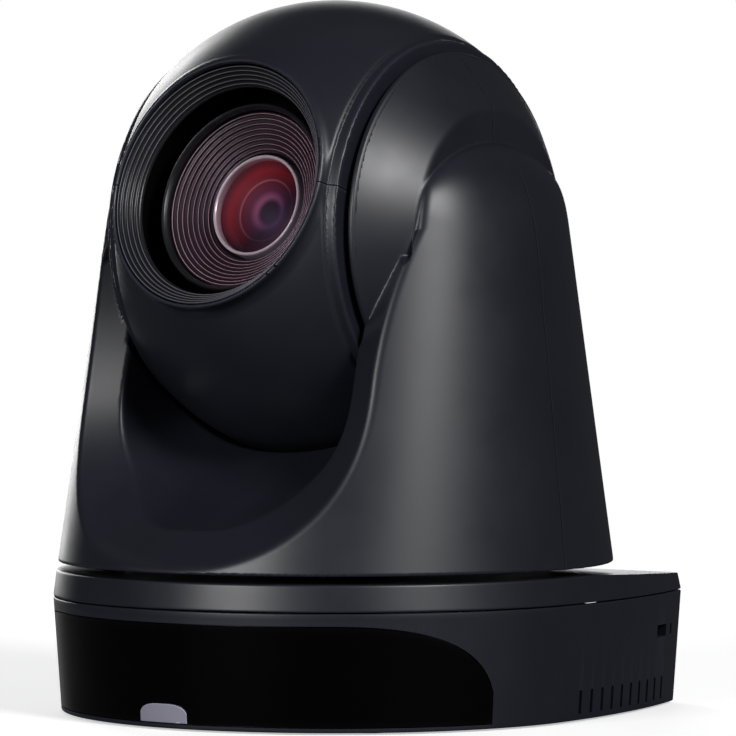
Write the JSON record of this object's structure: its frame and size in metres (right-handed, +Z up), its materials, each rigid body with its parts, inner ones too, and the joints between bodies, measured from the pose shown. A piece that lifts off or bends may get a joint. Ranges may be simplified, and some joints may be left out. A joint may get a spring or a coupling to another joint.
{
  "type": "ptz camera",
  "caption": "charcoal desktop pan-tilt-zoom camera with a round tilting head in a tapered yoke on a flared base with a glossy front window",
  "frame": {"origin": "on the pan axis, in the plane of the feet; it is also the middle of the bounding box's bottom", "axes": "+Z up along the pan axis, -Y towards the front where the lens looks, +X to the right of someone who faces the front"},
  "size_m": [0.1472, 0.1472, 0.1848],
  "materials": {
    "shell": "satin charcoal moulding",
    "window_gloss": "polished black infrared window",
    "lamp": "milky lavender light guide",
    "plate_metal": "zinc plated sheet",
    "steel": "turned steel",
    "connector_metal": "bright plated sheet",
    "aluminium": "cast and machined",
    "brass": "machined",
    "rubber": "black rubber",
    "black_trim": "matt black moulding",
    "board": "green solder mask",
    "coated_glass": "purple anti-reflection coating",
    "silver": "bright plated ring"
  },
  "bodies": {
    "base": {"base_housing": "shell", "base_top_ring": "shell", "front_window": "window_gloss", "status_lamp": "lamp", "base_plate": "plate_metal", "tripod_insert": "brass", "foot_1": "rubber", "foot_2": "rubber", "foot_3": "rubber", "foot_4": "rubber", "base_deck": "plate_metal", "pan_bearing": "steel", "pan_motor": "steel", "pan_belt": "rubber", "rear_panel": "black_trim", "lan_jack": "connector_metal", "hdmi_port": "connector_metal", "usb_port": "connector_metal", "dc_jack": "black_trim", "serial_port": "black_trim", "audio_jack": "black_trim", "main_board": "board", "remote_receiver": "window_gloss", "base_screw_1": "steel", "base_screw_2": "steel", "base_screw_3": "steel", "base_screw_4": "steel"},
    "pan_drive": {"pan_motor_pulley": "brass"},
    "yoke": {"pan_pulley": "black_trim", "pan_spindle": "aluminium", "yoke_front_cover": "shell", "yoke_rear_cover": "shell", "yoke_frame": "aluminium", "tilt_bearing_left": "steel", "tilt_bearing_right": "steel", "tilt_motor": "steel", "tilt_motor_bracket": "plate_metal", "tilt_belt": "rubber"},
    "tilt_drive": {"tilt_motor_pulley": "brass"},
    "head": {"head_upper_shell": "shell", "head_lower_shell": "shell", "lens_bezel": "black_trim", "lens_barrel": "black_trim", "lens_baffle": "black_trim", "front_glass": "coated_glass", "retaining_ring": "silver", "inner_element": "coated_glass", "zoom_block": "black_trim", "sensor_board": "board", "zoom_motor": "steel", "focus_motor": "steel", "head_board": "board", "head_plate_left": "plate_metal", "head_plate_right": "plate_metal", "tilt_shaft_left": "steel", "tilt_shaft_right": "steel", "tilt_pulley": "black_trim"},
    "zoom_carriage": {"zoom_cell": "black_trim"},
    "focus_carriage": {"focus_cell": "black_trim"}
  },
  "joints": [
    {"name": "pan", "type": "hinge", "parent": "base", "child": "yoke", "pos_m": [0, 0, 0.04], "axis": [0, 0, 1], "range_deg": [-170, 170]},
    {"name": "pan_motor_spin", "type": "hinge", "parent": "base", "child": "pan_drive", "pos_m": [0, -0.046, 0.0285], "axis": [0, 0, 1], "range_deg": [-860, 860]},
    {"name": "tilt", "type": "hinge", "parent": "yoke", "child": "head", "pos_m": [0, 0, 0.1246], "axis": [-1, 0, 0], "range_deg": [-42.5, 72.5]},
    {"name": "tilt_motor_spin", "type": "hinge", "parent": "yoke", "child": "tilt_drive", "pos_m": [0.0467, 0, 0.082], "axis": [-1, 0, 0], "range_deg": [-115, 200]},
    {"name": "zoom", "type": "slide", "parent": "head", "child": "zoom_carriage", "axis": [0, -0.9537, 0.3007], "range_m": [-0.012, 0.005]},
    {"name": "focus", "type": "slide", "parent": "head", "child": "focus_carriage", "axis": [0, -0.9537, 0.3007], "range_m": [-0.008, 0.008]}
  ],
  "couplings": [
    {"joint": "pan_motor_spin", "follows": "pan", "ratio": 5},
    {"joint": "tilt_motor_spin", "follows": "tilt", "ratio": 2.6667}
  ]
}
